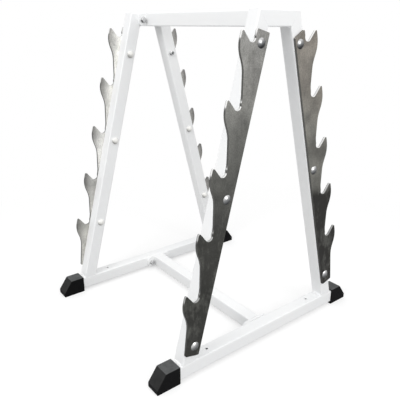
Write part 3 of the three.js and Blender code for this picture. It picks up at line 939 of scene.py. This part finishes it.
# Hexagon with chamfered corners along X, from x = start down to x = start - height
def hexMesh(start, height, chamferBoth):
    bm = bmesh.new()
    cornerRadius = hexagon["across"] / 2 / math.cos(math.pi / 6)
    flat = hexagon["across"] / 2 * hexagon["chamferShare"]
    place = Matrix.Translation((start - height, 0, 0)) @ Matrix.Rotation(math.pi / 2, 4, "Y")
    bmesh.ops.create_circle(bm, cap_ends=True, segments=6, radius=cornerRadius, matrix=place)
    thicken(bm, (height, 0, 0))
    over = cornerRadius * hexagon["cutterShare"]
    slope = (over - flat) * math.tan(math.pi / 6)
    near = (start, 0), (start, flat if chamferBoth else over), (start - slope * chamferBoth, over)
    far = (start - height + slope, over), (start - height, flat), (start - height, 0)
    return combined(bm, turnedProfile([*near, *far]), "INTERSECT")


washer = {"diameter": 0.024, "thickness": 0.0025, "edge": 0.0004}


# Hexagon bolt along X: washer's seat on x = 0, head to -X
def hexBoltMesh(length):
    radius, thick, edge = washer["diameter"] / 2, washer["thickness"], washer["edge"]
    shank, tip = rack["boltDiameter"] / 2, domeBolt["tip"]
    body = turnedProfile([
        (-thick, 0), (-thick, radius - edge), (edge - thick, radius), (-edge, radius), (0, radius - edge),
        (0, shank), (length - tip, shank), (length, shank - tip), (length, 0)])
    return combined(body, hexMesh(edge - thick, hexagon["headHeight"] + edge, False), "UNION")


def nutMesh():
    height = hexagon["nutHeight"]
    bore = rodAlong(alongX, cap["boreRadius"], -2 * height, height, (0, 0, 0))
    return combined(hexMesh(0, height, True), bore, "DIFFERENCE")


def makePlateBolts(end, side):
    outward = outwardOf(end, side)
    plateLow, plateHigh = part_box(f"hook_plate_{end}_{side}")
    innerFace = -outward * tubeSide / 2
    outerFace = outward * (tubeSide / 2 + (plateHigh.x - plateLow.x))
    for i, height in enumerate(boltHeights(end, side), 1):
        tag = f"{end}_{side}_{i}"
        outer, inner = (
            legMatrix(end, side) @ Matrix.Translation((x, boltLine, height)) @ turnedAround(outward)
            for x in (outerFace, innerFace))
        finishPiece(domeBoltMesh(), f"dome_bolt_{tag}", [chrome], [f"plate_bolt_{tag}"], outer)
        if f"hex_nut_{tag}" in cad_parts:
            finishPiece(nutMesh(), f"bare_nut_{tag}", [zinc], [f"hex_nut_{tag}"], inner)
        else:
            finishPiece(capMesh(), f"dome_cap_{tag}", [cream], [f"cap_nut_{tag}"], inner)


def makeFlangeBolts(level, end):
    flangeLow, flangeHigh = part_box(f"flange_{level}_{end}")
    flangeFace = flangeLow.x if ends[end] > 0 else flangeHigh.x
    wallFace = ends[end] * (innerFaceX + rack["tubeWall"])
    for side in sides:
        tag = f"{level}_{end}_{side}"
        low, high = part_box(f"flange_bolt_{tag}")
        centre = (low + high) / 2
        length = (high.x - low.x) - washer["thickness"] - hexagon["headHeight"]
        place = Matrix.Translation((flangeFace, centre.y, centre.z)) @ turnedAround(ends[end])
        finishPiece(hexBoltMesh(length), f"hex_bolt_{tag}", [zinc], [f"flange_bolt_{tag}"], place)
        inside = Matrix.Translation((wallFace, centre.y, centre.z)) @ turnedAround(-ends[end])
        finishPiece(nutMesh(), f"weld_nut_{tag}", [zinc], (), inside)


# Boot on a base tube's end, drawn outward from the rack's middle and up from the floor
boot = {
    "lap": 0.051,
    "toe": 0.039,
    "toeLift": 0.018,
    "brow": 0.004,
    "round": 0.003,
    "edge": 0.0016,
    "edgeSteps": 3,
    "fit": 0.0003,
}


def makeBoot(end, side):
    node = f"foot_{end}_{side}"
    low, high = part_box(node)
    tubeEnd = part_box(f"base_tube_{end}")[1].y
    mouth, toe, brow = tubeEnd - boot["lap"], tubeEnd + boot["toe"], tubeEnd + boot["brow"]
    corners = (mouth, 0), (toe, 0), (toe, boot["toeLift"]), (brow, high.z), (mouth, high.z)
    bm = roundedFace(platePlane, [(*corner, boot["round"]) for corner in corners])
    width = high.x - low.x
    thicken(bm, (width, 0, 0))
    bmesh.ops.translate(bm, verts=bm.verts, vec=(-width / 2, 0, 0))
    bevelSharp(bm, boot["edge"], boot["edgeSteps"])
    half = tubeSide / 2 + boot["fit"]
    pocket = roundedFace(turnedPlane, rectangle(half, half, rack["tubeRound"]))
    thicken(pocket, (0, 2 * boot["lap"], 0))
    seat = (0, -tubeEnd - boot["fit"], baseTop - tubeSide / 2)
    bmesh.ops.translate(pocket, verts=pocket.verts, vec=seat)
    bm = combined(bm, pocket, "DIFFERENCE")
    place = Matrix.Translation((ends[end] * frameX, 0, 0)) @ turnedAround(-sides[side])
    finishPiece(bm, f"boot_{end}_{side}", [rubber], [node], place)


# Painted weld beads: a rippled fillet in the corner of two faces
weld = {
    "footLeg": 0.005,
    "headerLeg": 0.004,
    "flangeLeg": 0.0025,
    "sink": 0.0006,
    "pitch": 0.0022,
    "ripple": 0.12,
    "bulge": 0.15,
    "endShare": 0.3,  # the bead's ends narrow to this share of it
    "arcSteps": 5,
    "rippleSteps": 4,
}


# A bead centred on a point of the corner, between a direction on each of the two faces
def makeWeld(name, at, onFirst, onSecond, legSize):
    length = tubeSide - 2 * rack["tubeRound"]
    onFirst, onSecond = Vector(onFirst).normalized(), Vector(onSecond).normalized()
    lift = (onSecond - onFirst * onSecond.dot(onFirst)).normalized()
    axis = onFirst.cross(lift)
    angle = onFirst.angle(onSecond)
    bm = bmesh.new()
    vert = bm.verts.new(placed(weldPlane, (-weld["sink"], -weld["sink"])))
    for i in range(weld["arcSteps"] + 1):
        share = i / weld["arcSteps"]
        reach = legSize * (1 + weld["bulge"] * math.sin(math.pi * share))
        point = Vector((1 - share + share * math.cos(angle), share * math.sin(angle))) * reach
        vert = straightTo(bm, vert, weldPlane, point)
    closeOutline(bm)
    steps = round(length / weld["pitch"] * weld["rippleSteps"])
    bmesh.ops.spin(
        bm, geom=bm.verts[:] + bm.edges[:], cent=(0, 0, 0), axis=alongX, dvec=(length / steps, 0, 0),
        angle=0, steps=steps, use_duplicate=False)
    bmesh.ops.holes_fill(bm, edges=[edge for edge in bm.edges if edge.is_boundary], sides=0)
    for vert in bm.verts:
        toEnd = min(vert.co.x, length - vert.co.x)
        taper = max(weld["endShare"], math.sqrt(max(0, 1 - (1 - min(1, toEnd / legSize)) ** 2)))
        wave = 1 + weld["ripple"] * abs(math.sin(math.pi * vert.co.x / weld["pitch"]))
        vert.co.y *= taper * wave
        vert.co.z *= taper * wave
    turn = Matrix((axis, onFirst, lift)).transposed().to_4x4()
    place = Matrix.Translation(at) @ turn @ Matrix.Translation((-length / 2, 0, 0))
    finishPiece(bm, name, [coat], (), place)


def makeWelds(end):
    x = ends[end] * frameX
    outer = rack["baseSpread"] / 2
    inner = outer - tubeSide / math.cos(lean)
    underHeader = rack["topSpread"] / 2 - tubeSide / math.tan(mitre)
    for side, sign in sides.items():
        upLeg = Vector((0, -sign * math.sin(lean), math.cos(lean)))
        out = Vector((0, sign, 0))
        makeWeld(f"foot_weld_{end}_{side}_outer", (x, sign * outer, baseTop), out, upLeg, weld["footLeg"])
        makeWeld(f"foot_weld_{end}_{side}_inner", (x, sign * inner, baseTop), -out, upLeg, weld["footLeg"])
        at = (x, sign * underHeader, headerTop - tubeSide)
        makeWeld(f"header_weld_{end}_{side}", at, -out, -upLeg, weld["headerLeg"])
        for level in levels:
            low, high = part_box(f"flange_{level}_{end}")
            face = low.x if ends[end] > 0 else high.x
            at = (face, sign * tubeSide / 2, (low.z + high.z) / 2)
            makeWeld(f"flange_weld_{level}_{end}_{side}", at, out, -ends[end] * alongX, weld["flangeLeg"])


for end in ends:
    makeBaseTube(end)
    makeHeader(end)
    for side in sides:
        makeLeg(end, side)
        makeHookPlate(end, side)
        makePlateBolts(end, side)
        makeBoot(end, side)
    for level in levels:
        makeFlange(level, end)
        makeFlangeBolts(level, end)
    makeWelds(end)
for level in levels:
    makeCrossbar(level)
print("pieces made")


# Camera at the photograph's angle: metres, degrees and, for the lens, millimetres
shot = {
    "place": (1.4293, -1.1069, 1.1091),
    "yaw": 52.27,
    "pitchDown": 18.89,
    "filmWidth": 36,
    "lens": 42.99,
    "shift": (-0.00125, -0.0313),
}


def makeCamera():
    data = bpy.data.cameras.new("camera")
    data.sensor_width = shot["filmWidth"]
    data.lens = shot["lens"]
    data.shift_x, data.shift_y = shot["shift"]
    camera = bpy.data.objects.new("camera", data)
    camera.location = shot["place"]
    camera.rotation_euler = (math.radians(90 - shot["pitchDown"]), 0, math.radians(shot["yaw"]))
    bpy.context.scene.collection.objects.link(camera)
    bpy.context.scene.camera = camera


# Pale floor, and a white surround for what the camera and the metal see.
# Past the rack's shadow the floor runs into the plain white of the surround
studio = {
    "floorSize": 40,
    "floorTone": 0.42,
    "floorGlow": 0.60,
    "floorBounce": 0.40,  # the tone that lights the rack from below
    "shadowEnds": (0.9, 1.7),
    "surround": 0.76,  # how strongly the surround lights the rack
}
lamps = {
    "key": {"place": (0.5, -2.9, 2.55), "aim": (0, 0, 0.7), "size": 1.8, "power": 44.5},
    "side": {"place": (3.3, 0.3, 1.7), "aim": (0, 0, 0.85), "size": 1.8, "power": 35},
    "overhead": {"place": (0, 0.2, 3.6), "aim": (0, 0, 0.5), "size": 2.6, "power": 8},
}


def greyOf(tone):
    return (tone, tone, tone, 1)


def mattOf(tree, tone):
    return addNode(tree, "ShaderNodeBsdfDiffuse", Color=greyOf(tone)).outputs[0]


def shineOf(tree, kind, strength):
    return addNode(tree, kind, Color=greyOf(1), Strength=strength).outputs[0]


def mixOf(tree, share, first, second):
    return addNode(tree, "ShaderNodeMixShader", {0: share, 1: first, 2: second}).outputs[0]


# 1 where a surface is seen, straight or in a shiny one, and 0 where it only lights others
def isSeen(tree):
    rays = addNode(tree, "ShaderNodeLightPath")
    seen = rays.outputs["Is Camera Ray"]
    for kind in ("Is Glossy Ray", "Is Transmission Ray"):
        seen = addNode(
            tree, "ShaderNodeMath", {0: seen, 1: rays.outputs[kind]}, operation="MAXIMUM").outputs[0]
    return seen


def makeFloorFinish():
    material = bpy.data.materials.new("paleFloor")
    material.use_nodes = True
    tree = material.node_tree
    tree.nodes.clear()
    glow = shineOf(tree, "ShaderNodeEmission", studio["floorGlow"])
    near = addNode(tree, "ShaderNodeAddShader", {0: mattOf(tree, studio["floorTone"]), 1: glow}).outputs[0]
    white = shineOf(tree, "ShaderNodeEmission", 1)
    reach = addNode(tree, "ShaderNodeVectorMath", {0: objectPlace(tree)}, operation="LENGTH")
    away = spread(tree, reach.outputs["Value"], *studio["shadowEnds"], 0, 1)
    bounce = mattOf(tree, studio["floorBounce"])
    both = mixOf(tree, isSeen(tree), bounce, mixOf(tree, away, near, white))
    addNode(tree, "ShaderNodeOutputMaterial", {"Surface": both})
    return material


def makeFloor():
    bm = bmesh.new()
    bmesh.ops.create_grid(bm, x_segments=1, y_segments=1, size=studio["floorSize"] / 2)
    mesh = bpy.data.meshes.new("floor")
    bm.to_mesh(mesh)
    bm.free()
    mesh.materials.append(makeFloorFinish())
    floor = bpy.data.objects.new("floor", mesh)
    bpy.context.scene.collection.objects.link(floor)


def makeSurround():
    world = bpy.data.worlds.new("studio")
    bpy.context.scene.world = world
    world.use_nodes = True
    tree = world.node_tree
    tree.nodes.clear()
    soft = shineOf(tree, "ShaderNodeBackground", studio["surround"])
    white = shineOf(tree, "ShaderNodeBackground", 1)
    addNode(tree, "ShaderNodeOutputWorld", {"Surface": mixOf(tree, isSeen(tree), soft, white)})


def makeLamps():
    for name, lamp in lamps.items():
        data = bpy.data.lights.new(name, "AREA")
        data.shape, data.size, data.energy = "DISK", lamp["size"], lamp["power"]
        light = bpy.data.objects.new(name, data)
        light.location = lamp["place"]
        aim = Vector(lamp["aim"]) - Vector(lamp["place"])
        light.rotation_euler = aim.to_track_quat("-Z", "Y").to_euler()
        bpy.context.scene.collection.objects.link(light)


makeCamera()
makeFloor()
makeSurround()
makeLamps()
bpy.context.scene.view_settings.view_transform = "Standard"
print("studio made")
